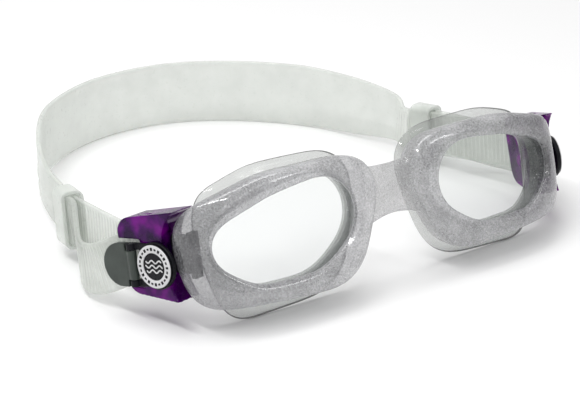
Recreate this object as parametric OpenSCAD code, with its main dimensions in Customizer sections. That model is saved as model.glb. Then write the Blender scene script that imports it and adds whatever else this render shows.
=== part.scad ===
// Swim goggles: two rigid lenses in a one-piece soft frame with face seals, a ratchet buckle at
// each temple and a one-piece elastic head strap that turns round a roller in each buckle.
// The goggles stand on a table, leaning back, on the lower edges of the seals and of the strap.
// X runs from the wearer's right (-X) to the left (+X), the lenses look along -Y, and Z is up.

/* [Stance] */
// How far the lenses lean back while the goggles stand, in degrees
lean_back = 17; // [15:1:19]
// Height of the eye line above the table
eye_z = 24; // [23.9:0.05:26]
// Rise of the buckles against the lens axis, in degrees
buckle_rise = 3; // [2:1:5]

/* [Front frame] */
// Depth of a rim, front to back, beside the nose
rim_depth = 8.4; // [7.6:0.2:9.2]
// Angle that each temple has turned through at its buckle, in degrees
temple_turn = 70; // [66:1:72]

/* [Lenses and seals] */
// Thickness of a lens
lens_t = 1.8; // [1.4:0.1:1.8]
// How far a seal stands behind the front of its rim
seal_depth = 12.6; // [11.6:0.2:13.4]
// Thickness of the seal's flange
seal_t = 1.1; // [0.9:0.1:1.4]

/* [Strap] */
// Thickness of the strap
strap_t = 1.4; // [1.2:0.1:1.4]
// Width of the ribbed side lengths
side_w = 14; // [12.5:0.5:14]
// Width of the band behind the head
band_w = 21.6; // [19:0.2:22.4]

/* [Buckles] */
// Height of a buckle
buckle_h = 22; // [21.6:0.2:22.4]
// Diameter of the round badge
badge_d = 11.4; // [9:0.2:11.6]
// Length of the lever's thumb tab, past its pin
tab_len = 9.6; // [8:0.2:10.4]
// Diameter of the steel pins
pin_d = 1.2; // [1:0.1:1.3]

/* [Hidden] */
$fn = 48;
front_y = -68.5;

// Colours
frame_grey = [0.66, 0.66, 0.68, 0.8];
lens_clear = [0.85, 0.92, 0.95, 0.35];
seal_clear = [0.86, 0.87, 0.88, 0.6];
purple = [0.38, 0.06, 0.50, 0.9];
lever_grey = [0.33, 0.37, 0.34];
carrier_black = [0.07, 0.07, 0.10];
steel = [0.75, 0.76, 0.78];
strap_milk = [0.88, 0.90, 0.87, 0.75];

// The line of the frame's front seen from above: straight beside the nose, then turning back more
// and more towards the temple. Each row is [distance along the line, x, y, turned angle].
turn_from = 25;
turn_to = 70.5;
turn_power = 2.5;
line_step = 1;
function turned(s) = temple_turn * pow(max(0, min(1, (s - turn_from) / (turn_to - turn_from))), turn_power);
front_line = [for (s = 0, x = 0, y = 0; s <= 78; x = x + line_step * cos(turned(s + line_step / 2)),
    y = y + line_step * sin(turned(s + line_step / 2)), s = s + line_step) [s, x, y, turned(s)]];
line_x = [for (r = front_line) [r[0], r[1]]];
line_y = [for (r = front_line) [r[0], r[2]]];
line_a = [for (r = front_line) [r[0], r[3]]];

// A point s along the front line, at height v and at depth d behind it
function bent(s, v, d) =
    let (a = lookup(s, line_a))
    [lookup(s, line_x) - d * sin(a), lookup(s, line_y) + d * cos(a), v];

// Outlines of one eye, [along the front line, height, radius] of each corner, anticlockwise from
// the lower corner beside the nose
opening = [[30.2, 1.0, 12.5], [42.8, -1.4, 9.8], [50.4, 0.2, 7.0], [37, 1.4, 10.0], [24.0, 2.6, 10.4]];
rim = [[23.0, -4.9, 13.0], [57.6, -5.6, 10.0], [59.8, 3.2, 9.4], [38, 4.4, 12.9], [14.6, 7.4, 9.6]];
seal = [[24.6, -7.0, 13.6], [48.5, -9.0, 12.4], [55.2, 4.4, 10.8], [37, 5.0, 14.0], [17.0, 8.2, 10.2]];

arc_steps = 12;
outline_points = 50;
easing_rounds = 3;
function side_normal(a, b) =
    atan2(b[1] - a[1], b[0] - a[0]) - acos((a[2] - b[2]) / norm([b[0] - a[0], b[1] - a[1]]));
function on_corner(c, angle, grow) = [c[0] + (c[2] + grow) * cos(angle), c[1] + (c[2] + grow) * sin(angle)];

// Arcs round the corners, with a straight side between each pair
function cornered(corners, grow) = let (n = len(corners)) [for (i = [0:n - 1]) let (
        c = corners[i],
        from = side_normal(corners[(i + n - 1) % n], c),
        turn = (side_normal(c, corners[(i + 1) % n]) - from + 720) % 360)
    for (k = [0:arc_steps]) on_corner(c, from + turn * k / arc_steps, grow)];

// Evenly spaced points along a closed line
function spaced(p) = let (
        n = len(p),
        far = [for (i = 0, sum = 0; i <= n; sum = sum + norm(p[(i + 1) % n] - p[i % n]), i = i + 1) sum],
        x = [for (i = [0:n]) [far[i], p[i % n][0]]],
        y = [for (i = [0:n]) [far[i], p[i % n][1]]])
    [for (k = [0:outline_points - 1]) let (at = far[n] * k / outline_points) [lookup(at, x), lookup(at, y)]];

// Each round moves every point towards its neighbours, which eases the corners into the sides
function eased(p, rounds) = rounds == 0 ? p : let (n = len(p))
    eased([for (i = [0:n - 1]) (p[(i + n - 1) % n] + 2 * p[i] + p[(i + 1) % n]) / 4], rounds - 1);

// The points of a rounded outline, grown outwards by grow
function outline(corners, grow) = eased(spaced(cornered(corners, grow)), easing_rounds);
function mix(a, b, t) = [for (i = [0:len(a) - 1]) a[i] * (1 - t) + b[i] * t];
function ring(points, depth) = [for (p = points) bent(p[0], p[1], depth * thin(p[0]))];

// The frame gets thinner towards the temple
function thin(s) = 1 - 0.22 * max(0, min(1, (s - 40) / 26));

// A closed ring of closed rings
module torus(rings) {
    m = len(rings);
    n = len(rings[0]);
    polyhedron([for (r = rings) each r], [for (i = [0:m - 1], j = [0:n - 1]) let (
        a = i * n + j, b = i * n + (j + 1) % n, c = ((i + 1) % m) * n + (j + 1) % n, d = ((i + 1) % m) * n + j)
        each [[a, b, c], [a, c, d]]]);
}

// A solid skinned over open rings, closed at both ends by a fan
module skin(rings) {
    m = len(rings);
    n = len(rings[0]);
    function centre(r) = [for (k = [0:2]) [for (p = r) 1] * [for (p = r) p[k]] / n];
    polyhedron(concat([for (r = rings) each r], [centre(rings[0]), centre(rings[m - 1])]), concat(
        [for (i = [0:m - 2], j = [0:n - 1]) let (
            a = i * n + j, b = i * n + (j + 1) % n, c = (i + 1) * n + (j + 1) % n, d = (i + 1) * n + j)
            each [[a, b, c], [a, c, d]]],
        [for (j = [0:n - 1]) [(j + 1) % n, j, m * n]],
        [for (j = [0:n - 1]) [(m - 1) * n + j, (m - 1) * n + (j + 1) % n, m * n + 1]]));
}

// Placing: worn() stands the goggles on the table, at_buckle() is one buckle's own frame, where X
// runs back along the strap, -Y points outwards and Z is along the pins
buckle_s = 66.5;
buckle_in = 3.2;
buckle_origin = bent(buckle_s, 0, buckle_in);
module worn() {
    translate([0, front_y, eye_z])
        rotate([-lean_back, 0, 0])
            children();
}
module both_sides(side) {
    if (side > 0) children();
    else mirror([1, 0, 0]) children();
}
module at_buckle(side) {
    worn()
        both_sides(side)
            translate(buckle_origin)
                rotate([0, 0, temple_turn])
                    rotate([0, -buckle_rise, 0])
                        children();
}
function stand(p) = [p[0], front_y + p[1] * cos(lean_back) + p[2] * sin(lean_back),
    eye_z + p[2] * cos(lean_back) - p[1] * sin(lean_back)];
function turn_up(p) = [p[0] * cos(buckle_rise) - p[2] * sin(buckle_rise), p[1],
    p[0] * sin(buckle_rise) + p[2] * cos(buckle_rise)];
function turn_round(p, a) = [p[0] * cos(a) - p[1] * sin(a), p[0] * sin(a) + p[1] * cos(a), p[2]];
function from_buckle(p) = stand(buckle_origin + turn_round(turn_up(p), temple_turn));
buckle_up = from_buckle([0, 0, 1]) - from_buckle([0, 0, 0]);

// Front frame: one soft moulding of two rims and a saddle bridge
lip_t = 2.5;
seat = 1.8;
module rim_half() {
    hole = outline(opening, 0);
    edge = outline(rim, 0);
    torus([
        ring(hole, 1.5),
        ring(outline(opening, 0.7), 0.5),
        ring(mix(hole, edge, 0.42), 0),
        ring(mix(hole, edge, 0.78), 0.7),
        ring(outline(rim, -0.5), 1.7),
        ring(edge, 3.2),
        ring(outline(rim, -0.2), 6.6),
        ring(outline(rim, -0.5), rim_depth),
        ring(outline(opening, seat), rim_depth),
        ring(outline(opening, seat), lip_t),
        ring(hole, lip_t)]);
}

bridge_reach = 15;
function bridge_section(x) = let (
        t = abs(x) / bridge_reach,
        top = 11.2 + 2.4 * t * t,
        low = -2.6 - 5.6 * t * t,
        front = 2.0 - 0.9 * t * t,
        back = 6.6 + 0.8 * t * t)
    [for (k = [0:15]) let (a = 360 * k / 16, c = cos(a), s = sin(a))
        [x, (front + back) / 2 - (back - front) / 2 * sign(s) * pow(abs(s), 0.8),
            (top + low) / 2 + (top - low) / 2 * sign(c) * pow(abs(c), 0.8)]];
module bridge() {
    difference() {
        skin([for (x = [bridge_reach:-3:-bridge_reach]) bridge_section(x)]);
        for (side = [-1, 1]) both_sides(side)
            skin([ring(outline(opening, seat + 0.2), -6), ring(outline(opening, seat + 0.2), 14)]);
    }
}
module front_frame() {
    color(frame_grey) resize([0, 0, 0]) difference() {
        union() {
            worn() rim_half();
            worn() mirror([1, 0, 0]) rim_half();
            worn() bridge();
        }
        for (side = [-1, 1]) at_buckle(side) anchor_shape(0.1);
    }
}

// Lens: a bent plate, seated behind the lip of its rim
fit_gap = 0.25;
lens_edge = seat - fit_gap;
lens_front = lip_t + fit_gap;
lens_rings = 5;
function shrunk(points, t) = [for (p = points) [36 + (p[0] - 36) * t, p[1] * t]];
module lens(side) {
    shape = outline(opening, lens_edge);
    color(lens_clear) worn() both_sides(side) skin(concat(
        [for (k = [1:lens_rings]) ring(shrunk(shape, k / lens_rings), lens_front)],
        [for (k = [lens_rings:-1:1]) ring(shrunk(shape, k / lens_rings), lens_front + lens_t)]));
}

// Face seal: a collar behind the lens that flares into a thin flange against the face
module face_seal(side) {
    collar_front = lens_front + lens_t + fit_gap;
    collar = outline(opening, lens_edge);
    inner = outline(opening, 0.9);
    flange = outline(seal, 0);
    color(seal_clear) worn() both_sides(side) torus([
        ring(inner, collar_front),
        ring(collar, collar_front),
        ring(collar, rim_depth + 0.5),
        ring(mix(collar, flange, 0.35), seal_depth - 2.6),
        ring(outline(seal, -1.4), seal_depth - 1.6),
        ring(flange, seal_depth - 0.6),
        ring(outline(seal, -0.3), seal_depth),
        ring(outline(seal, -1.8), seal_depth - 1.6 + seal_t),
        ring(mix(collar, flange, 0.25), seal_depth - 2.7 + seal_t),
        ring(inner, rim_depth + 0.6)]);
}

// Buckle: the strap comes in at the back, on the inner side, turns round a roller and leaves on
// the outer side under the lever
roller_x = 9.4;
roller_y = 0.5;
roller_r = 1.3;
strap_gap = 0.15;
turn_r = roller_r + strap_gap + strap_t / 2;
slot_h = side_w + 0.9;
outer_face = -3.6;
inner_face = 4.6;
buckle_end = 18.6;
hub_x = 5.4;
hub_z = -2;

// The temple anchor is a stiff tongue, moulded into the frame's temple and set in the buckle
module anchor_shape(grow) {
    translate([-4 - grow, 0.5 - grow, -5 - grow])
        cube([8 + 2 * grow, 1.6 + 2 * grow, 10 + 2 * grow]);
    translate([-4 - grow, -0.1 - grow, -6 - grow])
        cube([1.6 + 2 * grow, 2.8 + 2 * grow, 12 + 2 * grow]);
}
module temple_anchor(side) {
    color(carrier_black) at_buckle(side) anchor_shape(0);
}

horn_x = 2.4;
module buckle_outline() {
    half = buckle_h / 2;
    hull() {
        translate([-horn_x, half + 0.6]) circle(0.6, $fn = 32);
        translate([-horn_x, -half - 0.4]) circle(0.6, $fn = 32);
        translate([buckle_end - 4.6, half - 5.4]) circle(4.6, $fn = 32);
        translate([buckle_end - 6.2, 5.6 - half]) circle(5, $fn = 32);
    }
}
module buckle_body(side) {
    half = buckle_h / 2;
    color(purple) at_buckle(side) difference() {
        rotate([90, 0, 0])
            translate([0, 0, -inner_face])
                linear_extrude(inner_face - outer_face) buckle_outline();
        // room for the rounded end of the frame
        rotate([90, 0, 0]) linear_extrude(30, center = true)
            polygon([for (p = outline(rim, 1.6)) [p[0] - buckle_s, p[1]]]);
        // strap passage
        translate([roller_x - turn_r - 1.2, roller_y - turn_r - 1.1, -slot_h / 2])
            cube([30, 2 * turn_r + 2.2, slot_h]);
        // mouth for the lever
        translate([11, -10, hub_z - 6.5]) cube([20, 10, 13]);
        // roller pin and spring slot
        translate([roller_x, roller_y, -half - 1]) cylinder(d = pin_d, h = buckle_h + 2);
        translate([7.2, -1.9, half - 1.6]) cube([4.6, 0.9, 3]);
        anchor_shape(0);
    }
}

// Lever carrier: a stiff disc that holds the badge and the lever's pin
carrier_t = 1;
skim = 0.02;
pivot_x = 13;
pivot_y = outer_face - 1.3;
knuckle_r = 1.25;
knuckle_gap = 0.12;
tab_h = 11.6;
module lever_carrier(side) {
    color(carrier_black) at_buckle(side) difference() {
        union() {
            translate([hub_x, outer_face - skim, hub_z])
                rotate([90, 0, 0]) cylinder(d = badge_d + 1.2, h = carrier_t);
            for (end = [-1, 1])
                translate([pivot_x, pivot_y, hub_z + end * (tab_h / 2 - 0.9)]) {
                    cylinder(r = knuckle_r, h = 1.8, center = true);
                    translate([-4.6, 0.3, -0.9]) cube([4.6, knuckle_r - 0.3, 1.8]);
                }
        }
        translate([pivot_x, pivot_y, hub_z - 10]) cylinder(d = pin_d, h = 20);
    }
}
module buckle_badge(side) {
    color(steel) at_buckle(side)
        translate([hub_x, outer_face - carrier_t - 2 * skim, hub_z])
            rotate([90, 0, 0]) {
                cylinder(d = badge_d, h = 0.5);
                difference() {
                    translate([0, 0, 0.5]) cylinder(d = badge_d, h = 0.25);
                    translate([0, 0, 0.4]) cylinder(d = badge_d - 1, h = 1);
                }
            }
}

// Lever: a thumb tab on a vertical pin, with a pawl that bears on the strap
module buckle_lever(side) {
    knuckle_h = tab_h - 3.6 - 2 * knuckle_gap;
    color(lever_grey) at_buckle(side) translate([pivot_x, pivot_y, hub_z]) difference() {
        union() {
            cylinder(r = knuckle_r, h = knuckle_h, center = true);
            // thumb tab with a round free end
            rotate([90, 0, 0]) translate([0, 0, -knuckle_r + 0.35]) linear_extrude(1.9) difference() {
                hull() {
                    translate([1.5, -tab_h / 2]) square([0.5, tab_h]);
                    translate([tab_len - tab_h / 2, 0]) circle(d = tab_h);
                }
                translate([-20, -20]) square([21.45, 40]);
            }
            translate([0, -knuckle_r + 0.3, -knuckle_h / 2]) cube([2, 2 * knuckle_r - 0.6, knuckle_h]);
            // pawl
            translate([0.9, 0, -knuckle_h / 2]) cube([1.3, 2.35, knuckle_h]);
        }
        cylinder(d = pin_d + 0.1, h = tab_h, center = true);
        // thumb groove
        translate([3, -0.8 - knuckle_r, -0.2]) cube([tab_len, 0.4, 0.4]);
    }
}
module lever_pin(side) {
    color(steel) at_buckle(side)
        translate([pivot_x, pivot_y, hub_z]) cylinder(d = pin_d, h = tab_h - 0.2, center = true);
}
// Leaf spring that pushes the pawl home
module lever_spring(side) {
    color(steel) at_buckle(side)
        translate([7.6, -1.75, buckle_h / 2 - 1.5]) cube([3.8, 0.35, 1.2]);
}
module strap_roller(side) {
    color(steel) at_buckle(side) translate([roller_x, roller_y, 0]) difference() {
        cylinder(r = roller_r, h = slot_h - 0.3, center = true);
        cylinder(d = pin_d + 0.1, h = slot_h + 1, center = true);
    }
}
module roller_pin(side) {
    color(steel) at_buckle(side)
        translate([roller_x, roller_y, 0]) cylinder(d = pin_d, h = buckle_h - 0.4, center = true);
}

// Strap keepers: a loop round both layers on each side, where the strap runs straight. The strap
// lies a little to the wearer's right, so each side has its own [place, heading].
keeper_drop = 8;
keeper_len = 8;
layer_gap = 0.9;
layer_y = (strap_t + layer_gap) / 2;
function keeper_at(side) = side < 0 ? [67.4, -4, 12.2] : [58.4, -4, 10.8];
function keeper_turn(side) = side < 0 ? 96 : 100;
function from_keeper(p, side) = keeper_at(side) + turn_round([
    p[0] * cos(keeper_drop) + p[2] * sin(keeper_drop), p[1],
    p[2] * cos(keeper_drop) - p[0] * sin(keeper_drop)], keeper_turn(side));
function keeper_up(side) = from_keeper([0, 0, 1], side) - keeper_at(side);
module loop_outline(w, h, r) {
    square([w - 2 * r, h], center = true);
    square([w, h - 2 * r], center = true);
    for (i = [-1, 1], j = [-1, 1]) translate([i * (w / 2 - r), j * (h / 2 - r)]) circle(r);
}
module strap_keeper(side) {
    room_w = 2 * strap_t + layer_gap + 0.8;
    room_h = side_w + 0.8;
    color(strap_milk) both_sides(side)
        translate(keeper_at(side)) rotate([0, 0, keeper_turn(side)]) rotate([0, keeper_drop, 0])
            rotate([90, 0, 90]) linear_extrude(keeper_len, center = true) difference() {
                loop_outline(room_w + 2.2, room_h + 2.2, 2.4);
                loop_outline(room_w, room_h, 0.6);
            }
}

// Strap: the middle line of one side, from its wide band, through the keeper, round the roller
// and back to the keeper. Each row is [place, direction of the strap's width, half width].
up = [0, 0, 1];
band_half = band_w / 2;
side_half = side_w / 2;
function keeper_row(x, y, side) = [from_keeper([x, y, 0], side), keeper_up(side), side_half];
function buckle_row(x, y, z) = [from_buckle([x, y, z]), buckle_up, side_half];
// The left tail bows out a little less than the right one
function tail_in(side) = side > 0 ? 0.7 : 0;
function side_line(side) = concat(
    [for (x = [9, 3, -3, -9]) keeper_row(x, layer_y, side)],
    [for (x = [21, 15.5]) buckle_row(x, roller_y + turn_r, 0)],
    [for (a = [90:30:270]) buckle_row(roller_x + turn_r * cos(a), roller_y + turn_r * sin(a), 0)],
    [buckle_row(14.5, roller_y - turn_r, -0.4), buckle_row(19, roller_y - turn_r - 0.2, -1.8),
     buckle_row(25, -3.4, -3.8), buckle_row(31, -2.8 + tail_in(side), -4.8),
     buckle_row(37, -0.2 + tail_in(side), -3.6)],
    [for (x = [-8, -3, 3, 9]) keeper_row(x, -layer_y, side)]);
// The wide band behind the head, from the right keeper to the left one: [x, y, height of its
// middle, half width]
band = [[-65.0, 15, 12.4, 7.4], [-59, 34, 12.6, 8.8], [-46, 55.5, 11.4, 10.4], [-24, 69.7, band_half + 0.04, band_half],
    [2, 71.1, band_half + 0.04, band_half], [24, 61, band_half + 0.04, band_half], [42, 44, band_half + 0.04, band_half],
    [51.6, 26, 10.8, 10], [56.4, 12, 10.8, 8.2]];
function band_row(b) = [[b[0], b[1], b[2]], up, b[3]];
function flipped(r) = [[-r[0][0], r[0][1], r[0][2]], [-r[1][0], r[1][1], r[1][2]], r[2]];
right_line = [for (r = side_line(-1)) flipped(r)];
left_line = side_line(1);
whole_line = concat([for (i = [len(right_line) - 1:-1:0]) right_line[i]], [for (b = band) band_row(b)], left_line);

spline_steps = 4;
function spline(a, b, c, d, t) = 0.5 * (2 * b + (c - a) * t + (2 * a - 5 * b + 4 * c - d) * t * t
    + (3 * b - a - 3 * c + d) * t * t * t);
function row_spline(rows, i, t) = let (n = len(rows) - 1,
        a = rows[max(0, i - 1)], b = rows[i], c = rows[min(n, i + 1)], d = rows[min(n, i + 2)])
    [for (k = [0:1]) spline(a[k], b[k], c[k], d[k], t)];
function row_half(rows, i, t) = rows[i][2] * (1 - t) + rows[min(len(rows) - 1, i + 1)][2] * t;
strap_rows = [for (i = [0:len(whole_line) - 2], k = [0:spline_steps - 1]) let (t = k / spline_steps)
    concat(row_spline(whole_line, i, t), [row_half(whole_line, i, t)])];
strap_stations = concat(strap_rows, [whole_line[len(whole_line) - 1]]);

function unit(v) = v / norm(v);
strap_corner = 0.35;
function strap_section(rows, i) = let (n = len(rows) - 1,
        r = rows[i],
        along = unit(rows[min(n, i + 1)][0] - rows[max(0, i - 1)][0]),
        across = unit(cross(along, unit(r[1]))),
        wide = unit(cross(across, along)),
        h = r[2],
        e = strap_t / 2,
        c = strap_corner)
    [for (q = [[-e, c - h], [c - e, -h], [e - c, -h], [e, c - h], [e, h - c], [e - c, h], [c - e, h], [-e, h - c]])
        r[0] + across * q[0] + wide * q[1]];
module head_strap() {
    color(strap_milk) skin([for (i = [0:len(strap_stations) - 1]) strap_section(strap_stations, i)]);
}

front_frame();
lens(-1);  // lens_right
lens(1);  // lens_left
face_seal(-1);  // face_seal_right
face_seal(1);  // face_seal_left
temple_anchor(-1);  // temple_anchor_right
temple_anchor(1);  // temple_anchor_left
buckle_body(-1);  // buckle_body_right
buckle_body(1);  // buckle_body_left
lever_carrier(-1);  // lever_carrier_right
lever_carrier(1);  // lever_carrier_left
buckle_badge(-1);  // buckle_badge_right
buckle_badge(1);  // buckle_badge_left
buckle_lever(-1);  // buckle_lever_right
buckle_lever(1);  // buckle_lever_left
lever_pin(-1);  // lever_pin_right
lever_pin(1);  // lever_pin_left
lever_spring(-1);  // lever_spring_right
lever_spring(1);  // lever_spring_left
strap_roller(-1);  // strap_roller_right
strap_roller(1);  // strap_roller_left
roller_pin(-1);  // roller_pin_right
roller_pin(1);  // roller_pin_left
strap_keeper(-1);  // strap_keeper_right
strap_keeper(1);  // strap_keeper_left
head_strap();
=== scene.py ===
import math

import bmesh
import bpy
import numpy as np
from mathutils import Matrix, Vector


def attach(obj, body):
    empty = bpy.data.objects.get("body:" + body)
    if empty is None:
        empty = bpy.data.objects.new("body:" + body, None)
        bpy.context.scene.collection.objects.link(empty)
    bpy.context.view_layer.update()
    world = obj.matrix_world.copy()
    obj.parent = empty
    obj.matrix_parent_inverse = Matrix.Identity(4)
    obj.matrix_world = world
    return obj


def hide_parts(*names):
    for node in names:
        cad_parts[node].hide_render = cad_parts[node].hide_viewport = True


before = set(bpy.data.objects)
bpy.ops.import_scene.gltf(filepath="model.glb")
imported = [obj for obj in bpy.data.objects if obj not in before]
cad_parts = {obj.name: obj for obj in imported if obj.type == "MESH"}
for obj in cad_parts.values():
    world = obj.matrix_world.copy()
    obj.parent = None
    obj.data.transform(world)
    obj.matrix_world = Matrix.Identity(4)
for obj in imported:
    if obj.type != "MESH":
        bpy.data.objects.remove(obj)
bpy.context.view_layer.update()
scene = bpy.context.scene
MM = 0.001

# Camera, at the height and angle the goggles are seen from
CAM_AZ, CAM_EL = math.radians(-33.0), math.radians(24.5)
cam_data = bpy.data.cameras.new("camera")
cam_data.sensor_width = 36.0
cam_data.lens = 97.57
cam_data.clip_start, cam_data.clip_end = 0.01, 20.0
cam = bpy.data.objects.new("camera", cam_data)
scene.collection.objects.link(cam)
cam.location = Vector((-233.13, -372.41, 199.35)) * MM
back = Vector((math.sin(CAM_AZ) * math.cos(CAM_EL), -math.cos(CAM_AZ) * math.cos(CAM_EL), math.sin(CAM_EL)))
cam.rotation_mode = "QUATERNION"
cam.rotation_quaternion = (-back).to_track_quat("-Z", "Y")
scene.camera = cam
scene.view_settings.view_transform = "Standard"

# The CAD model's own measures and shape laws, in millimetres
LEAN, EYE_Z, FRONT_Y = math.radians(17.0), 24.0, -68.5
TEMPLE, RISE = math.radians(70.0), math.radians(3.0)
TURN_FROM, TURN_LENGTH, TURN_POWER = 25.0, 45.5, 2.5
THIN_FROM, THIN_LENGTH, THIN_PART = 40, 26, 0.22
BUCKLE_S, BUCKLE_IN = 66.5, 3.2
RIM_DEPTH, SEAL_DEPTH, SEAL_T, LENS_T = 8.4, 12.6, 1.1, 1.8
LIP_T, SEAT, FIT_GAP = 2.5, 1.8, 0.25
STRAP_T, SIDE_W = 1.4, 14.0
# Outlines of one eye: [along the front, height, radius] of each corner
OPENING = [(30.2, 1.0, 12.5), (42.8, -1.4, 9.8), (50.4, 0.2, 7.0), (37, 1.4, 10.0), (24.0, 2.6, 10.4)]
RIM = [(23.0, -4.9, 13.0), (57.6, -5.6, 10.0), (59.8, 3.2, 9.4), (38, 4.4, 12.9), (14.6, 7.4, 9.6)]
SEAL = [(24.6, -7.0, 13.6), (48.5, -9.0, 12.4), (55.2, 4.4, 10.8), (37, 5.0, 14.0), (17.0, 8.2, 10.2)]


def turned(s):
    """How far the frame's front has turned back at distance s from the nose."""
    return TEMPLE * np.clip((np.asarray(s, float) - TURN_FROM) / TURN_LENGTH, 0, 1) ** TURN_POWER


LINE_S = np.arange(0.0, 79.0, 1.0)
LINE_X = np.concatenate([[0.0], np.cumsum(np.cos(turned(LINE_S[:-1] + 0.5)))])
LINE_Y = np.concatenate([[0.0], np.cumsum(np.sin(turned(LINE_S[:-1] + 0.5)))])


def bent(s, v, d):
    """The point at distance s along the front, height v and depth d behind it."""
    s, v, d = np.broadcast_arrays(np.asarray(s, float), np.asarray(v, float), np.asarray(d, float))
    a = turned(s)
    x = np.interp(s, LINE_S, LINE_X) - d * np.sin(a)
    y = np.interp(s, LINE_S, LINE_Y) + d * np.cos(a)
    return np.stack([x, y, v], -1)


def stand(p):
    """Leans the front back and stands it on the table."""
    p = np.asarray(p, float)
    c, s = math.cos(LEAN), math.sin(LEAN)
    y = FRONT_Y + p[..., 1] * c + p[..., 2] * s
    z = EYE_Z + p[..., 2] * c - p[..., 1] * s
    return np.stack([p[..., 0], y, z], -1)


def thin(s):
    """The frame gets thinner towards the temple."""
    return 1 - THIN_PART * np.clip((np.asarray(s, float) - THIN_FROM) / THIN_LENGTH, 0, 1)


OUTLINE_POINTS, EASE_ROUNDS, ARC_POINTS, SIDE_POINTS = 160, 31, 20, 10


def outline(corners, grow):
    """Evenly spaced points of a rounded outline, grown outwards and eased."""
    def normal(a, b):
        dx, dy = b[0] - a[0], b[1] - a[1]
        return math.atan2(dy, dx) - math.acos((a[2] - b[2]) / math.hypot(dx, dy))

    def on(c, angle):
        return np.array([c[0] + (c[2] + grow) * math.cos(angle), c[1] + (c[2] + grow) * math.sin(angle)])

    points, n = [], len(corners)
    for i, c in enumerate(corners):
        start = normal(corners[i - 1], c)
        turn = (normal(c, corners[(i + 1) % n]) - start) % (2 * math.pi)
        a, b = on(c, start + turn), on(corners[(i + 1) % n], start + turn)
        points += [on(c, start + turn * k / (ARC_POINTS - 1)) for k in range(ARC_POINTS)]
        points += [a + (b - a) * k / (SIDE_POINTS + 1) for k in range(1, SIDE_POINTS + 1)]
    loop = np.array(points + points[:1])
    far = np.concatenate([[0], np.cumsum(np.linalg.norm(np.diff(loop, axis=0), axis=1))])
    at = np.linspace(0, far[-1], OUTLINE_POINTS, endpoint=False)
    even = np.stack([np.interp(at, far, loop[:, k]) for k in (0, 1)], -1)
    for _ in range(EASE_ROUNDS):
        even = (np.roll(even, 1, 0) + 2 * even + np.roll(even, -1, 0)) / 4
    return even


def ring(points, depth):
    return stand(bent(points[:, 0], points[:, 1], depth * thin(points[:, 0])))


def spun(x, y, z, a):
    """The point x, y, z turned by a about the vertical."""
    return np.stack([x * math.cos(a) - y * math.sin(a), x * math.sin(a) + y * math.cos(a), z], -1)


def from_buckle(p):
    """A point in a buckle's own frame: X back along the strap, -Y outwards, Z up its width."""
    p = np.asarray(p, float)
    x = p[..., 0] * math.cos(RISE) - p[..., 2] * math.sin(RISE)
    z = p[..., 0] * math.sin(RISE) + p[..., 2] * math.cos(RISE)
    return stand(spun(x, p[..., 1], z, TEMPLE) + bent(BUCKLE_S, 0, BUCKLE_IN))


# Place and heading of each strap keeper, by side
KEEPERS = {-1: ((67.4, -4.0, 12.2), math.radians(96)), 1: ((58.4, -4.0, 10.8), math.radians(100))}
DROP = math.radians(8)


def from_keeper(p, side):
    """A point in a keeper's own frame: X along the strap, Y across its two layers."""
    at, a = KEEPERS[side]
    p = np.asarray(p, float)
    x = p[..., 0] * math.cos(DROP) + p[..., 2] * math.sin(DROP)
    z = p[..., 2] * math.cos(DROP) - p[..., 0] * math.sin(DROP)
    return np.array(at) + spun(x, p[..., 1], z, a)


SIDES = {"right": -1, "left": 1}


def mirrored(p, side):
    p = np.array(p, float)
    p[..., 0] *= side
    return p


# Mesh making
def add(name, verts, faces, flip=False):
    """A new smooth-shaded piece from points in millimetres."""
    mesh = bpy.data.meshes.new(name)
    if flip:
        faces = [tuple(reversed(f)) for f in faces]
    mesh.from_pydata((np.asarray(verts, float) * MM).tolist(), [], [tuple(map(int, f)) for f in faces])
    mesh.polygons.foreach_set("use_smooth", [True] * len(mesh.polygons))
    mesh.update()
    piece = bpy.data.objects.new(name, mesh)
    scene.collection.objects.link(piece)
    return piece


def torus_faces(m, n):
    """Faces of a closed ring of m rings with n points each."""
    i, j = np.meshgrid(np.arange(m), np.arange(n), indexing="ij")
    i2, j2 = (i + 1) % m, (j + 1) % n
    return np.stack([i * n + j, i2 * n + j, i2 * n + j2, i * n + j2], -1).reshape(-1, 4).tolist()


def tube_faces(m, n):
    """Faces of a row of m rings with n points each, closed at both ends."""
    quads = [f for f in torus_faces(m, n) if max(f) - min(f) < (m - 1) * n]
    return quads + [tuple(range(n)), tuple((m - 1) * n + k for k in reversed(range(n)))]


def chain(rings, steps):
    """More rings on a smooth curve through the given ones."""
    out, last = [], len(rings) - 1
    for i in range(last):
        a, b, c, d = rings[max(0, i - 1)], rings[i], rings[i + 1], rings[min(last, i + 2)]
        for k in range(steps):
            t = k / steps
            square, cube = 2 * a - 5 * b + 4 * c - d, 3 * b - a - 3 * c + d
            out.append(0.5 * (2 * b + (c - a) * t + square * t * t + cube * t ** 3))
    return out + [rings[last]]


def baked(piece):
    """Applies the piece's modifiers."""
    mesh = bpy.data.meshes.new_from_object(piece.evaluated_get(bpy.context.evaluated_depsgraph_get()))
    piece.modifiers.clear()
    old, piece.data = piece.data, mesh
    bpy.data.meshes.remove(old)
    mesh.polygons.foreach_set("use_smooth", [True] * len(mesh.polygons))
    mesh.update()
    return piece


def moulded(piece, voxel, rounds):
    """Joins what overlaps and rounds the edges, as a mould does."""
    remesh = piece.modifiers.new("remesh", "REMESH")
    remesh.mode, remesh.voxel_size, remesh.use_smooth_shade = "VOXEL", voxel * MM, True
    smooth = piece.modifiers.new("smooth", "SMOOTH")
    smooth.factor, smooth.iterations = 0.5, rounds
    return baked(piece)


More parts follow.
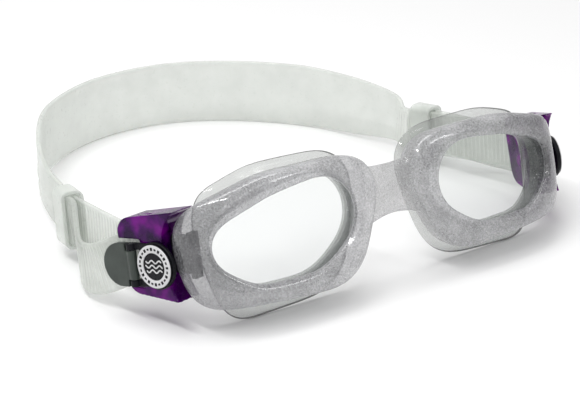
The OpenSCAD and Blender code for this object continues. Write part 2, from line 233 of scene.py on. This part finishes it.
def copy_of(node, name):
    """A new piece with the welded mesh of a CAD node."""
    bm = bmesh.new()
    bm.from_mesh(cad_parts[node].data)
    bm.transform(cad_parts[node].matrix_world)
    bmesh.ops.remove_doubles(bm, verts=bm.verts, dist=1e-6)
    mesh = bpy.data.meshes.new(name)
    bm.to_mesh(mesh)
    bm.free()
    piece = bpy.data.objects.new(name, mesh)
    scene.collection.objects.link(piece)
    return piece


# Materials
class Look:
    """A node material under construction."""

    def __init__(self, name, **values):
        self.mat = bpy.data.materials.new(name)
        self.mat.use_nodes = True
        self.nodes, self.links = self.mat.node_tree.nodes, self.mat.node_tree.links
        self.bsdf = self.nodes["Principled BSDF"]
        self.out = self.nodes["Material Output"]
        self.coord = self.nodes.new("ShaderNodeTexCoord").outputs["Object"]
        for key, value in values.items():
            self.bsdf.inputs[key.replace("_", " ")].default_value = value

    def node(self, kind, **values):
        n = self.nodes.new("ShaderNode" + kind)
        for key, value in values.items():
            if key in n.inputs.keys():
                n.inputs[key].default_value = value
            else:
                setattr(n, key, value)
        return n

    def noise(self, size_mm, detail=2.0, roughness=0.5):
        n = self.node("TexNoise", Scale=1000.0 / size_mm, Detail=detail, Roughness=roughness)
        self.links.new(self.coord, n.inputs["Vector"])
        return n.outputs["Fac"]

    def flakes(self, size_mm):
        n = self.node("TexVoronoi", Scale=1000.0 / size_mm)
        self.links.new(self.coord, n.inputs["Vector"])
        return n.outputs["Color"]

    def ramp(self, fac, *stops):
        n = self.node("ValToRGB")
        while len(n.color_ramp.elements) < len(stops):
            n.color_ramp.elements.new(0.5)
        for e, (at, colour) in zip(n.color_ramp.elements, stops):
            e.position = at
            e.color = (*colour, 1.0)
        self.links.new(fac, n.inputs["Fac"])
        return n.outputs["Color"]

    def to(self, socket, source):
        self.links.new(source, self.bsdf.inputs[socket])

    def span(self, fac, low, high, start=0.3, end=0.7):
        """Takes the values from start to end to those from low to high."""
        n = self.node("MapRange")
        n.inputs["From Min"].default_value, n.inputs["From Max"].default_value = start, end
        n.inputs["To Min"].default_value, n.inputs["To Max"].default_value = low, high
        self.links.new(fac, n.inputs["Value"])
        return n.outputs["Result"]

    def bump(self, fac, depth_mm):
        n = self.node("Bump", Strength=1.0, Distance=depth_mm * MM)
        self.links.new(fac, n.inputs["Height"])
        self.to("Normal", n.outputs["Normal"])

    def see_through(self, tint, solid):
        """Lets light through: solid is how much of the surface is not clear, a number or a socket."""
        clear = self.node("BsdfTransparent")
        clear.inputs["Color"].default_value = (*tint, 1.0)
        mix = self.node("MixShader")
        if isinstance(solid, float):
            mix.inputs[0].default_value = solid
        else:
            self.links.new(solid, mix.inputs[0])
        self.links.new(clear.outputs[0], mix.inputs[1])
        self.links.new(self.bsdf.outputs[0], mix.inputs[2])
        self.links.new(mix.outputs[0], self.out.inputs["Surface"])
        return self


def mat_frame(name, dark, light, tint, low, high):
    """Soft clear moulding full of fine glitter, with painted shade darkening it towards the temples."""
    k = Look(name, Roughness=0.2, Coat_Weight=1.0, Coat_Roughness=0.07, Coat_IOR=2.0)
    fine = k.noise(0.5, 3.0, 0.75)
    cloud = k.noise(7.0, 3.0)
    both = k.node("Mix", data_type="FLOAT")
    both.inputs[0].default_value = 0.3
    k.links.new(fine, both.inputs[2])
    k.links.new(cloud, both.inputs[3])
    sparkle = k.node("SeparateColor")
    k.links.new(k.flakes(0.42), sparkle.inputs[0])
    glitter = k.node("Mix", data_type="RGBA")
    glitter.inputs["B"].default_value = (0.85, 0.85, 0.87, 1.0)
    k.links.new(k.span(sparkle.outputs[2], 0.0, 0.6, 0.92, 0.98), glitter.inputs["Factor"])
    k.links.new(k.ramp(both.outputs[0], (0.38, dark), (0.62, light)), glitter.inputs["A"])
    # Painted shade: the base colour darkens towards the temples, standing for the dark anchor and buckle seen
    # through the clear plastic
    place = k.node("SeparateXYZ")
    k.links.new(k.coord, place.inputs[0])
    far = k.node("Math", operation="ABSOLUTE")
    k.links.new(place.outputs["X"], far.inputs[0])
    painted_shade = k.node("Mix", data_type="RGBA", blend_type="MULTIPLY")
    painted_shade.inputs["B"].default_value = (0.42, 0.42, 0.44, 1.0)
    k.links.new(k.span(far.outputs[0], 0.0, 1.0, 0.034, 0.074), painted_shade.inputs["Factor"])
    k.links.new(glitter.outputs["Result"], painted_shade.inputs["A"])
    k.to("Base Color", painted_shade.outputs["Result"])
    k.to("Roughness", k.span(sparkle.outputs[0], 0.34, 0.16, 0.8, 0.97))
    k.to("Metallic", k.span(sparkle.outputs[1], 0.0, 0.8, 0.93, 0.99))
    k.bump(k.noise(0.8, 3.0, 0.5), 0.012)
    edge = k.node("LayerWeight", Blend=0.4)
    return k.see_through(tint, k.span(edge.outputs["Facing"], low, high, 0.1, 0.9)).mat


def mat_lens():
    """Clear, and a little smokier where it is seen edge-on."""
    k = Look("lens_clear", Base_Color=(0.26, 0.265, 0.27, 1), Roughness=0.03)
    k.to("Roughness", k.span(k.noise(14.0), 0.02, 0.06))
    edge = k.node("LayerWeight", Blend=0.5)
    return k.see_through((0.945, 0.952, 0.95), k.span(edge.outputs["Facing"], 0.02, 0.4, 0.45, 1.0)).mat


def mat_seal():
    """Thin clear rubber with a fine grain."""
    k = Look("seal_clear", Roughness=0.16, Coat_Weight=1.0, Coat_Roughness=0.05, Coat_IOR=1.8)
    fine = k.noise(0.35, 3.0, 0.6)
    k.to("Base Color", k.ramp(fine, (0.32, (0.34, 0.35, 0.35)), (0.68, (0.60, 0.61, 0.60))))
    k.bump(fine, 0.012)
    edge = k.node("LayerWeight", Blend=0.3)
    return k.see_through((0.90, 0.905, 0.90), k.span(edge.outputs["Facing"], 0.2, 0.6, 0.15, 0.95)).mat


def mat_seal_edge():
    """The dark line along a seal's free edge."""
    k = Look("seal_edge", Roughness=0.25)
    k.to("Base Color", k.ramp(k.noise(1.2), (0.3, (0.05, 0.05, 0.05)), (0.7, (0.09, 0.09, 0.088))))
    return k.see_through((0.4, 0.4, 0.4), 0.85).mat


def mat_strap(name, tone, solid, tint):
    """Milky silicone."""
    k = Look(name, Roughness=0.32, Coat_Weight=0.4, Coat_Roughness=0.15)
    cloud = k.noise(7.0, 3.0)
    k.to("Base Color", k.ramp(cloud, (0.3, tuple(t * 0.88 for t in tone)), (0.7, tone)))
    k.to("Roughness", k.span(k.noise(1.1, 2.0), 0.26, 0.4))
    k.bump(k.noise(0.5, 2.0), 0.012)
    edge = k.node("LayerWeight", Blend=0.4)
    return k.see_through(tint, k.span(edge.outputs["Facing"], solid, min(1.0, solid + 0.3), 0.2, 1.0)).mat


def mat_purple():
    """Clear purple plastic, darker and lighter in patches."""
    k = Look("buckle_purple", Roughness=0.1, Coat_Weight=0.3, Coat_Roughness=0.03, Specular_IOR_Level=0.1)
    deep, middle, bright = (0.018, 0.0002, 0.042), (0.075, 0.0007, 0.125), (0.22, 0.0015, 0.28)
    k.to("Base Color", k.ramp(k.noise(5.0, 2.0, 0.4), (0.36, deep), (0.52, middle), (0.68, bright)))
    k.to("Roughness", k.span(k.noise(1.6), 0.06, 0.16))
    k.bump(k.noise(2.2, 1.0), 0.03)
    return k.see_through((0.40, 0.008, 0.48), 0.74).mat


GRAIN = 0.6


def mat_plain(name, dark, light, rough, bump=0.012, coat=0.0, shine=0.5):
    """Solid plastic with a fine grain."""
    k = Look(name, Coat_Weight=coat, Coat_Roughness=0.08, Specular_IOR_Level=shine)
    grain = k.noise(GRAIN, 3.0)
    k.to("Base Color", k.ramp(k.noise(GRAIN * 7, 3.0), (0.3, dark), (0.7, light)))
    k.to("Roughness", k.span(grain, rough - 0.06, rough + 0.08))
    k.bump(grain, bump)
    return k.mat


def mat_metal(name, tone, rough):
    k = Look(name, Metallic=1.0)
    k.to("Base Color", k.ramp(k.noise(0.9, 4.0), (0.3, tuple(t * 0.85 for t in tone)), (0.7, tone)))
    k.to("Roughness", k.span(k.noise(0.3, 3.0), rough - 0.06, rough + 0.1))
    return k.mat


FRAME = mat_frame("frame_glitter", (0.25, 0.25, 0.26), (0.76, 0.76, 0.775), (0.83, 0.83, 0.835), 0.42, 0.76)
WEB = mat_frame("bridge_web", (0.30, 0.30, 0.305), (0.68, 0.68, 0.69), (0.87, 0.87, 0.87), 0.34, 0.7)
LENS, SEALS, SEAL_EDGE = mat_lens(), mat_seal(), mat_seal_edge()
STRAP = mat_strap("strap_milk", (0.75, 0.775, 0.74), 0.35, (0.94, 0.95, 0.935))
KEEPER = mat_strap("keeper_milk", (0.86, 0.885, 0.85), 0.40, (0.91, 0.925, 0.91))
PURPLE = mat_purple()
LEVER = mat_plain("lever_grey_green", (0.034, 0.042, 0.037), (0.050, 0.062, 0.054), 0.34, coat=0.1, shine=0.3)
BLACK = mat_plain("black_gloss", (0.004, 0.004, 0.006), (0.009, 0.009, 0.012), 0.3, bump=0.004, shine=0.15)
TONGUE = mat_plain("black_matt", (0.010, 0.010, 0.011), (0.022, 0.022, 0.024), 0.5, shine=0.2)
SILVER = mat_plain("silver_print", (0.60, 0.60, 0.61), (0.70, 0.70, 0.71), 0.4, bump=0.004)
STEEL = mat_metal("steel", (0.66, 0.67, 0.69), 0.22)


def finish_piece(piece, body, slot, nodes, *mats):
    """Gives a piece its materials and its body, and hides the CAD nodes it stands for; its slot is not used.
    """
    for m in mats:
        piece.data.materials.append(m)
    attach(piece, body)
    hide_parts(*nodes)


def mix(a, b, t):
    return a * (1 - t) + b * t


# Front frame
def rim_rings():
    """Rings round one rim, from its opening over the front to the back, and in to the lens seat."""
    hole, edge = outline(OPENING, 0), outline(RIM, 0)
    pocket = outline(OPENING, SEAT)
    rows = [(hole, 1.5), (outline(OPENING, 0.25), 0.95), (outline(OPENING, 0.8), 0.45),
            (mix(hole, edge, 0.28), 0.12), (mix(hole, edge, 0.45), 0.0), (mix(hole, edge, 0.62), 0.3),
            (mix(hole, edge, 0.78), 0.75), (mix(hole, edge, 0.9), 1.35), (outline(RIM, -0.2), 2.2),
            (edge, 3.3), (outline(RIM, -0.1), 5.4), (outline(RIM, -0.3), 7.4),
            (outline(RIM, -0.7), RIM_DEPTH), (pocket, RIM_DEPTH), (pocket, LIP_T), (hole, LIP_T)]
    return [ring(p, d) for p, d in rows]


BRIDGE_REACH, BRIDGE_POINTS, BRIDGE_SQUARE = 15.0, 40, 0.8


def bridge_section(x):
    """A rounded section of the bridge, set back from the rims so that their borders show."""
    t = abs(x) / BRIDGE_REACH
    top, low = 11.2 + 2.4 * t * t, -2.6 - 5.6 * t * t
    front, rear = 3.1 - 0.5 * t * t, 6.6 + 0.8 * t * t
    a = np.linspace(0, 2 * math.pi, BRIDGE_POINTS, endpoint=False)
    c, s = np.cos(a), np.sin(a)
    y = (front + rear) / 2 - (rear - front) / 2 * np.sign(s) * np.abs(s) ** BRIDGE_SQUARE
    z = (top + low) / 2 + (top - low) / 2 * np.sign(c) * np.abs(c) ** BRIDGE_SQUARE
    return stand(np.stack([np.full(a.shape, x), y, z], -1))


def inside(x, y, loop):
    """True for each point inside the loop, by counting the sides it crosses."""
    hit = np.zeros(x.shape, bool)
    for a, b in zip(loop, np.roll(loop, -1, 0)):
        spans = (a[1] > y) != (b[1] > y)
        hit ^= spans & (x < a[0] + (b[0] - a[0]) * (y - a[1]) / (b[1] - a[1] + 1e-12))
    return hit


def make_frame():
    rings = rim_rings()
    m, n = len(rings), len(rings[0])
    verts = np.concatenate(rings)
    sections = [bridge_section(x) for x in np.linspace(BRIDGE_REACH, -BRIDGE_REACH, 31)]
    middle = add("bridge", np.concatenate(sections), tube_faces(len(sections), BRIDGE_POINTS))
    for side in (-1, 1):
        cut_rings = [mirrored(ring(outline(OPENING, SEAT + 0.2), d), side) for d in (-6.0, 0.0, 6.0, 14.0)]
        cutter = add("cutter", np.concatenate(cut_rings), tube_faces(len(cut_rings), n), flip=side < 0)
        cut = middle.modifiers.new("cut", "BOOLEAN")
        cut.operation, cut.object, cut.solver = "DIFFERENCE", cutter, "EXACT"
        baked(middle)
        bpy.data.objects.remove(cutter)
    bm = bmesh.new()
    bm.from_mesh(middle.data)
    bpy.data.objects.remove(middle)
    for side in (-1, 1):
        part = add("rim", mirrored(verts, side), torus_faces(m, n), flip=side < 0)
        bm.from_mesh(part.data)
        bpy.data.objects.remove(part)
    mesh = bpy.data.meshes.new("front_frame_moulding")
    bm.to_mesh(mesh)
    bm.free()
    piece = bpy.data.objects.new("front_frame_moulding", mesh)
    scene.collection.objects.link(piece)
    moulded(piece, 0.4, 4)
    # the bridge between the rims takes the second, clearer material
    border, faces = outline(RIM, -0.2), piece.data.polygons
    at = np.empty(len(faces) * 3)
    faces.foreach_get("center", at)
    at = at.reshape(-1, 3) / MM
    across = np.abs(at[:, 0])
    up = (at[:, 1] - FRONT_Y) * math.sin(LEAN) + (at[:, 2] - EYE_Z) * math.cos(LEAN)
    web = ~inside(across, up, border) & (across < BRIDGE_REACH + 1)
    faces.foreach_set("material_index", web.astype(int))
    return piece


finish_piece(make_frame(), "goggles", "frame_soft", ["front_frame"], FRAME, WEB)


# Lenses and face seals
LENS_CENTRE, LENS_BEVEL = np.array([36.0, 0.0]), 0.25


def make_lens():
    """A bent plate with a small bevel, its rings getting closer towards the edge."""
    shape, centre = outline(OPENING, SEAT - FIT_GAP), LENS_CENTRE
    front, scales = LIP_T + FIT_GAP, [0.06, 0.2, 0.35, 0.5, 0.65, 0.8, 0.92, 0.985]
    rings = [ring(centre + (shape - centre) * t, front) for t in scales]
    rings += [ring(shape, front + LENS_BEVEL), ring(shape, front + LENS_T - LENS_BEVEL)]
    rings += [ring(centre + (shape - centre) * t, front + LENS_T) for t in reversed(scales)]
    return np.concatenate(rings), tube_faces(len(rings), len(shape))


def make_seal():
    """A skirt from the collar behind the lens out to a thin flange, and back on its inner side."""
    front = LIP_T + FIT_GAP + LENS_T + FIT_GAP
    collar, inner, flange = outline(OPENING, SEAT - FIT_GAP), outline(OPENING, 0.9), outline(SEAL, 0)
    outer = chain([ring(collar, front),
                   ring(collar, RIM_DEPTH + 0.5),
                   ring(mix(collar, flange, 0.35), SEAL_DEPTH - 2.6),
                   ring(outline(SEAL, -1.4), SEAL_DEPTH - 1.6),
                   ring(flange, SEAL_DEPTH - 0.6)], 5)
    inward = chain([ring(outline(SEAL, -0.3), SEAL_DEPTH),
                    ring(outline(SEAL, -1.8), SEAL_DEPTH - 1.6 + SEAL_T),
                    ring(mix(collar, flange, 0.25), SEAL_DEPTH - 2.7 + SEAL_T),
                    ring(inner, RIM_DEPTH + 0.6),
                    ring(inner, front)], 5)
    rings = outer + inward
    n = len(collar)
    edge = set(range((len(outer) - 1) * n, len(outer) * n))
    return np.concatenate(rings), torus_faces(len(rings), n), edge


for word, side in SIDES.items():
    verts, faces = make_lens()
    lens = add("lens_shell_" + word, mirrored(verts, side), faces, flip=side < 0)
    finish_piece(lens, "goggles", "lens_clear", ["lens_" + word], LENS)
    verts, faces, edge = make_seal()
    seal = add("seal_skirt_" + word, mirrored(verts, side), faces, flip=side < 0)
    for f, quad in zip(seal.data.polygons, faces):
        f.material_index = int(quad[0] in edge)
    finish_piece(seal, "goggles", "seal_soft", ["face_seal_" + word], SEALS, SEAL_EDGE)


# Head strap
ROLLER_X, ROLLER_Y, ROLLER_R, STRAP_GAP = 9.4, 0.5, 1.3, 0.15
OUTER_FACE = -3.6
TURN_R = ROLLER_R + STRAP_GAP + STRAP_T / 2
LAYER_GAP = 0.9
LAYER_Y = (STRAP_T + LAYER_GAP) / 2
UP_B = from_buckle([0, 0, 1]) - from_buckle([0, 0, 0])
TAIL_IN = {-1: 0.0, 1: 0.7}
TAIL_SLIM = 0.3
SPLINE_STEPS, STATION_STEP, WIDTH_POINTS = 24, 0.3, 25
RIB_PITCH, RIB_DEPTH, RIB_MARGIN = 1.5, 0.3, 0.9
END_ROUND, EDGE_ROUND = 4.5, 0.35
# Raised lines on the band: place as a part of the half width, height, width
LINES = [(0.14, 0.3, 0.55), (0.62, 0.22, 0.5)]


def side_line(side):
    """Rows of one side from its band to the end of its tail.

    Each row is the middle, the direction of the width, the half width, and 1 where there are ribs.
    """
    up_k = from_keeper([0, 0, 1], side) - np.array(KEEPERS[side][0])
    t, low = TAIL_IN[side], ROLLER_Y - TURN_R
    rows = [(from_keeper([x, LAYER_Y, 0], side), up_k) for x in (9, 3, -3, -9)]
    rows += [(from_buckle([x, ROLLER_Y + TURN_R, 0]), UP_B) for x in (21, 15.5)]
    for a in np.radians(np.arange(90, 271, 30)):
        on_roller = [ROLLER_X + TURN_R * math.cos(a), ROLLER_Y + TURN_R * math.sin(a), 0]
        rows.append((from_buckle(on_roller), UP_B))
    tail = [(14.5, low, -0.4), (19, low - 0.2, -1.8), (25, -3.4, -3.8), (31, -2.8 + t, -4.8),
            (37, -0.2 + t, -3.6)]
    rows += [(from_buckle(p), UP_B) for p in tail]
    slim = len(rows)
    rows += [(from_keeper([x, -LAYER_Y, 0], side), up_k) for x in (-8, -3, 3, 9)]
    halves = [SIDE_W / 2 - (TAIL_SLIM if i == slim else 0.0) for i in range(len(rows))]
    return [np.concatenate([mirrored(p, side), mirrored(up, side), [h, 1.0]])
            for (p, up), h in zip(rows, halves)]


# The wide band behind the head, from right to left: [x, y, height of its middle, half width]
BAND = [(-65.0, 15, 12.4, 7.4), (-59, 34, 12.6, 8.8), (-46, 55.5, 11.4, 10.4), (-24, 69.7, 10.84, 10.8),
        (2, 71.1, 10.84, 10.8), (24, 61, 10.84, 10.8), (42, 44, 10.84, 10.8), (51.6, 26, 10.8, 10),
        (56.4, 12, 10.8, 8.2)]


def make_strap():
    """The whole strap: rounded ends, ribbed sides and a smooth wide band with two raised lines."""
    rows = side_line(-1)[::-1] + [np.array([x, y, z, 0, 0, 1, h, 0.0]) for x, y, z, h in BAND] + side_line(1)
    line = np.array(chain(rows, SPLINE_STEPS))
    flat = [np.linspace(a, b, SPLINE_STEPS, endpoint=False)[:, 6:] for a, b in zip(rows, rows[1:])]
    line[:, 6:] = np.concatenate(flat + [[rows[-1][6:]]])
    s = np.concatenate([[0], np.cumsum(np.linalg.norm(np.diff(line[:, :3], axis=0), axis=1))])
    total = s[-1]
    at = np.linspace(0, total, int(total / STATION_STEP))
    line = np.stack([np.interp(at, s, line[:, k]) for k in range(8)], -1)
    along = np.gradient(line[:, :3], axis=0)
    along /= np.linalg.norm(along, axis=1)[:, None]
    across = np.cross(along, line[:, 3:6])
    across /= np.linalg.norm(across, axis=1)[:, None]
    wide = np.cross(across, along)
    end = np.minimum(at, total - at)
    half = line[:, 6] * np.sqrt(np.clip(1 - (1 - np.clip(end / END_ROUND, 0, 1)) ** 2, 0.12, 1))
    waves = 0.5 - 0.5 * np.cos(at * 2 * math.pi / RIB_PITCH)
    ribs = np.clip(line[:, 7] * 1.6 - 0.5, 0, 1) * waves * np.clip(end / 5 - 0.6, 0, 1)
    band = np.clip(1 - line[:, 7] * 1.5, 0, 1)
    e = STRAP_T / 2
    v = np.linspace(-1, 1, WIDTH_POINTS)
    rings = []
    for i in range(len(at)):
        h = half[i] - EDGE_ROUND
        w = v * h
        flank = np.clip((h - np.abs(w)) / RIB_MARGIN - 0.5, 0, 1)
        t = e - RIB_DEPTH * ribs[i] * flank
        lines = sum(tall * np.exp(-((w + part * half[i]) / broad) ** 2) for part, tall, broad in LINES)
        t_in = t + band[i] * lines
        low = [(-e * 0.7, -half[i] + 0.12), (0.0, -half[i]), (e * 0.7, -half[i] + 0.12)]
        high = [(e * 0.7, half[i] - 0.12), (0.0, half[i]), (-e * 0.7, half[i] - 0.12)]
        q = np.array(low + list(zip(t, w)) + high + list(zip(-t_in[::-1], w[::-1])))
        rings.append(line[i, :3] + across[i] * q[:, :1] + wide[i] * q[:, 1:])
    return np.concatenate(rings), tube_faces(len(rings), len(rings[0]))


verts, faces = make_strap()
finish_piece(add("strap_band", verts, faces), "goggles", "strap_clear", ["head_strap"], STRAP)

# Moulded pieces that stand for a CAD node: node, piece, voxel size, rounds of smoothing, slot, material
MOULDED = [("strap_keeper", "keeper_loop", 0.22, 5, "strap_clear", KEEPER),
           ("buckle_body", "buckle_shell", 0.2, 4, "buckle_purple", PURPLE),
           ("lever_carrier", "carrier_disc", 0.15, 4, "carrier_black", BLACK),
           ("buckle_lever", "thumb_lever", 0.13, 2, "lever_grey", LEVER)]
OWN_BODY = {"strap_keeper", "buckle_lever"}
for word, side in SIDES.items():
    for node, name, voxel, rounds, slot, look in MOULDED:
        full = f"{node}_{word}"
        piece = moulded(copy_of(full, f"{name}_{word}"), voxel, rounds)
        finish_piece(piece, full if node in OWN_BODY else "goggles", slot, [full], look)

# Badge: a silver ring with even dashes round a black disc with three waves
HUB_X, HUB_Z = 5.4, -2.0
CARRIER_T, SKIM = 1.0, 0.02
BADGE_Y, BADGE_R, DISC_R = OUTER_FACE - CARRIER_T - 2 * SKIM, 5.7, 3.65
LATHE_STEPS = 96
DASHES, DASH_R, LONG_DASH, SHORT_DASH = 24, 4.68, 0.85, 0.5
WAVE_REACH, WAVE_GAP, WAVE_LENGTH, WAVE_HEIGHT, WAVE_WIDTH = 2.95, 1.25, 2.6, 0.38, 0.34


def at_hub(p, side):
    """Badge coordinates: x back along the strap, z up, third value outwards from the carrier."""
    p = np.asarray(p, float)
    q = np.stack([HUB_X + p[..., 0], BADGE_Y - p[..., 2], HUB_Z + p[..., 1]], -1)
    return mirrored(from_buckle(q), side)


def lathe(profile, side):
    """Points of a profile of [radius, height] turned round the badge's middle."""
    a = np.linspace(0, 2 * math.pi, LATHE_STEPS, endpoint=False)
    rings = [np.stack([r * np.cos(a), r * np.sin(a), np.full(LATHE_STEPS, h)], -1) for r, h in profile]
    return np.concatenate([at_hub(points, side) for points in rings])


def ribbon(points, width, low, high, side):
    """A raised band along points on the badge."""
    p = np.array(points, float)
    d = np.gradient(p, axis=0)
    d /= np.linalg.norm(d, axis=1)[:, None]
    n = np.stack([-d[:, 1], d[:, 0]], -1) * width / 2
    rings = []
    for a, b in zip(p, n):
        corners = [[*(a - b), low], [*(a - b), high], [*(a + b), high], [*(a + b), low]]
        rings.append(at_hub(np.array(corners), side))
    return np.concatenate(rings), tube_faces(len(rings), 4)


def joined(parts):
    """One set of points and faces from several."""
    verts, faces, base = [], [], 0
    for v, f in parts:
        verts.append(v)
        faces += [tuple(base + k for k in q) for q in f]
        base += len(v)
    return np.concatenate(verts), faces


def make_dashes(side):
    """Even dashes round the ring, long and short by turns."""
    parts = []
    for k in range(DASHES):
        reach = 0.06 if k % (DASHES // 2) == 0 else 0.075
        a = 2 * math.pi * k / DASHES + np.linspace(-reach, reach, 5)
        points = np.stack([DASH_R * np.cos(a), DASH_R * np.sin(a)], -1)
        parts.append(ribbon(points, SHORT_DASH if k % 2 else LONG_DASH, 0.7, 0.80, side))
    return joined(parts)


def make_waves(side):
    """Three wave lines across the disc."""
    parts = []
    for z in (-WAVE_GAP, 0.0, WAVE_GAP):
        reach = math.sqrt(WAVE_REACH ** 2 - z * z)
        x = np.linspace(-reach, reach, 60)
        points = np.stack([x, z + WAVE_HEIGHT * np.sin(x * 2 * math.pi / WAVE_LENGTH)], -1)
        parts.append(ribbon(points, WAVE_WIDTH, 0.45, 0.6, side))
    return joined(parts)


DISC = [(0.3, 0.0), (BADGE_R, 0.0), (BADGE_R, 0.45), (DISC_R, 0.5), (0.3, 0.5)]
RING = [(BADGE_R - 0.12, 0.46), (BADGE_R + 0.02, 0.55), (BADGE_R, 0.68), (BADGE_R - 0.15, 0.76),
        (DISC_R + 0.15, 0.76), (DISC_R, 0.66), (DISC_R, 0.46)]
for word, side in SIDES.items():
    dashes, waves = make_dashes(side), make_waves(side)
    plate = add("badge_disc_" + word, lathe(DISC, side), tube_faces(len(DISC), LATHE_STEPS), flip=side > 0)
    hoop = add("badge_ring_" + word, lathe(RING, side), torus_faces(len(RING), LATHE_STEPS), flip=side > 0)
    marks = add("badge_dashes_" + word, *dashes, flip=side < 0)
    lines = add("badge_waves_" + word, *waves, flip=side < 0)
    for piece, look in ((plate, BLACK), (hoop, SILVER), (marks, BLACK), (lines, SILVER)):
        finish_piece(piece, "goggles", "badge_silver", ["buckle_badge_" + word], look)

# CAD pieces that keep their shape
CAD_LOOKS = {"temple_anchor": TONGUE, "lever_pin": STEEL, "lever_spring": STEEL,
             "strap_roller": STEEL, "roller_pin": STEEL}
for word in SIDES:
    for node, look in CAD_LOOKS.items():
        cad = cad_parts[f"{node}_{word}"]
        cad.data.materials.clear()
        cad.data.materials.append(look)

# Floor and light
FLOOR_REACH, FLOOR_Z = 3000, -0.15
floor_look = Look("floor_white", Roughness=0.55)
pale = floor_look.ramp(floor_look.noise(400.0), (0.3, (0.90, 0.90, 0.90)), (0.7, (0.92, 0.92, 0.92)))
floor_look.to("Base Color", pale)
floor_corners = [(x * FLOOR_REACH, y * FLOOR_REACH, FLOOR_Z) for x, y in ((-1, -1), (1, -1), (1, 1), (-1, 1))]
floor = add("floor", floor_corners, [(0, 1, 2, 3)])
floor.data.materials.append(floor_look.mat)
world = bpy.data.worlds.new("studio")
world.use_nodes = True
world.node_tree.nodes["Background"].inputs[0].default_value = (1.0, 1.0, 1.0, 1.0)
world.node_tree.nodes["Background"].inputs[1].default_value = 0.52
scene.world = world


def softbox(name, at, aim, size, power):
    """A soft rectangular light, in metres and watts."""
    data = bpy.data.lights.new(name, "AREA")
    data.shape, data.size, data.size_y, data.energy = "RECTANGLE", size[0], size[1], power
    light = bpy.data.objects.new(name, data)
    scene.collection.objects.link(light)
    light.location = at
    light.rotation_mode = "QUATERNION"
    light.rotation_quaternion = (Vector(aim) - Vector(at)).to_track_quat("-Z", "Y")


softbox("key", (-0.05, 0.2, 0.95), (0.0, 0.0, 0.0), (0.85, 0.4), 4.2)
softbox("front", (0.35, -0.6, 0.7), (0.0, 0.0, 0.0), (0.25, 0.12), 0.6)
softbox("strip", (-0.25, -0.12, 0.5), (0.0, -0.05, 0.02), (0.55, 0.03), 1.4)
